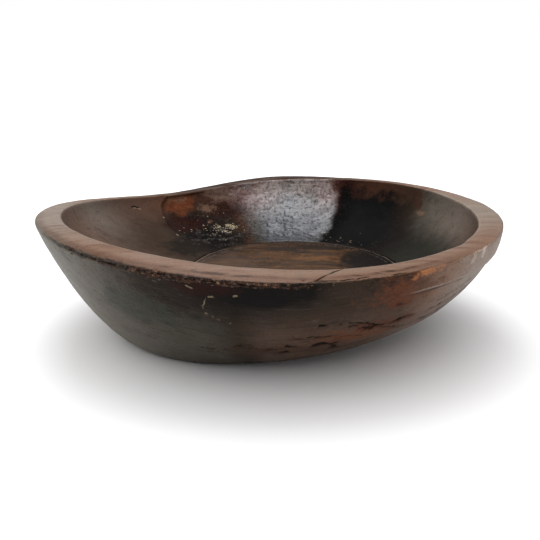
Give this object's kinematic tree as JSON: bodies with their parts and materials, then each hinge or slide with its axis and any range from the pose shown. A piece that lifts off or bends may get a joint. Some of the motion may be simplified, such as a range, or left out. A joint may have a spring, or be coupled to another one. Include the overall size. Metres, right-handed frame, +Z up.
{
  "type": "carved wooden bowl",
  "caption": "Shallow round bowl carved from one block of dark hardwood, with a wavy worn rim, a flat grooved floor and a flat off-centre foot.",
  "frame": {"origin": "middle of the bowl's outline in plan, on the surface it stands on", "axes": "+Z up out of the bowl's mouth; -Y towards the front, the side with the higher near lip; +X to the right, the side with the low belly; the foot lies towards -X"},
  "size_m": [0.3958, 0.388, 0.1162],
  "materials": {
    "aged_wood": "dark handled patina, satin to semi-gloss, worn paler and matt along the rim"
  },
  "bodies": {
    "root": {"bowl_body": "aged_wood"}
  },
  "joints": []
}
